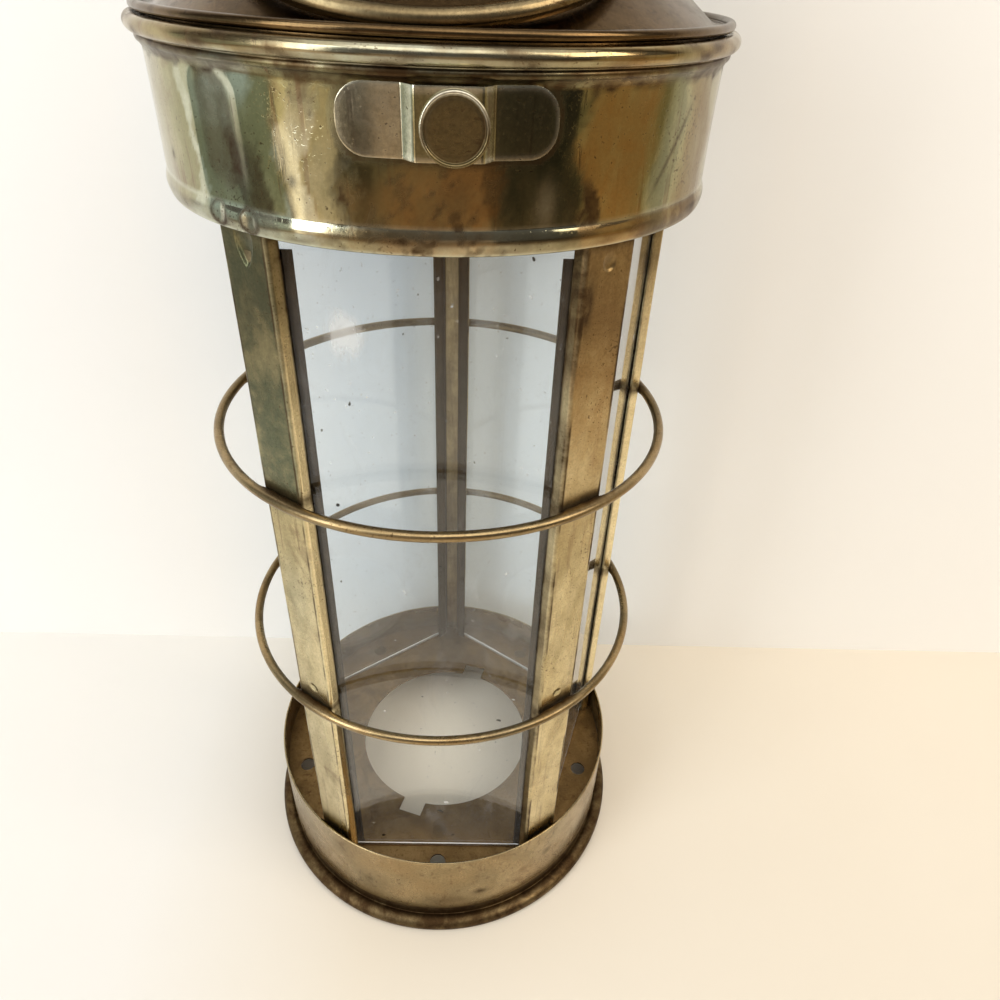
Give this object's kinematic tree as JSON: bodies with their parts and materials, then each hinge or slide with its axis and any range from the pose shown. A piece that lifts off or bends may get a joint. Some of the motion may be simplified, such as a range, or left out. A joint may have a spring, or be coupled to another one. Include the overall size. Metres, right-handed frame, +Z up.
{
  "type": "oil lantern",
  "caption": "Five-sided brass cargo lantern: flat panes between folded corner posts, wire guard rings, round base and collar, and a lift-off lid with a swinging bail.",
  "frame": {"origin": "centre of the round foot, on the surface that the lantern stands on", "axes": "+Z up along the lantern's axis; the front pane, the strap and the lying bail face -Y; +X to the right as seen from the front"},
  "size_m": [0.16, 0.16, 0.3934],
  "materials": {
    "sheet_brass": "aged satin",
    "dull_brass": "tarnished matt",
    "wire_brass": "aged satin",
    "clear_glass": "hazy"
  },
  "bodies": {
    "lantern": {"base_band": "sheet_brass", "floor_plate": "dull_brass", "corner_post_1": "sheet_brass", "corner_post_2": "sheet_brass", "corner_post_3": "sheet_brass", "corner_post_4": "sheet_brass", "corner_post_5": "sheet_brass", "retaining_strip_1": "dull_brass", "retaining_strip_2": "dull_brass", "retaining_strip_3": "dull_brass", "retaining_strip_4": "dull_brass", "retaining_strip_5": "dull_brass", "glass_pane_1": "clear_glass", "glass_pane_2": "clear_glass", "glass_pane_3": "clear_glass", "glass_pane_4": "clear_glass", "glass_pane_5": "clear_glass", "lower_guard_ring": "wire_brass", "upper_guard_ring": "wire_brass", "collar": "sheet_brass", "collar_strap": "sheet_brass", "strap_disc": "dull_brass"},
    "lid": {"lid_roof": "sheet_brass", "lid_skirt": "sheet_brass", "vent_chimney": "sheet_brass", "smoke_cap": "sheet_brass", "bail_ear_left": "sheet_brass", "bail_ear_right": "sheet_brass"},
    "bail": {"bail": "wire_brass"}
  },
  "joints": [
    {"name": "lid_lift", "type": "slide", "parent": "lantern", "child": "lid", "axis": [0, 0, 1], "range_m": [0, 0.05]},
    {"name": "bail_swing", "type": "hinge", "parent": "lid", "child": "bail", "pos_m": [0, 0, 0.35829], "axis": [-1, 0, 0], "range_deg": [0, 224]}
  ]
}
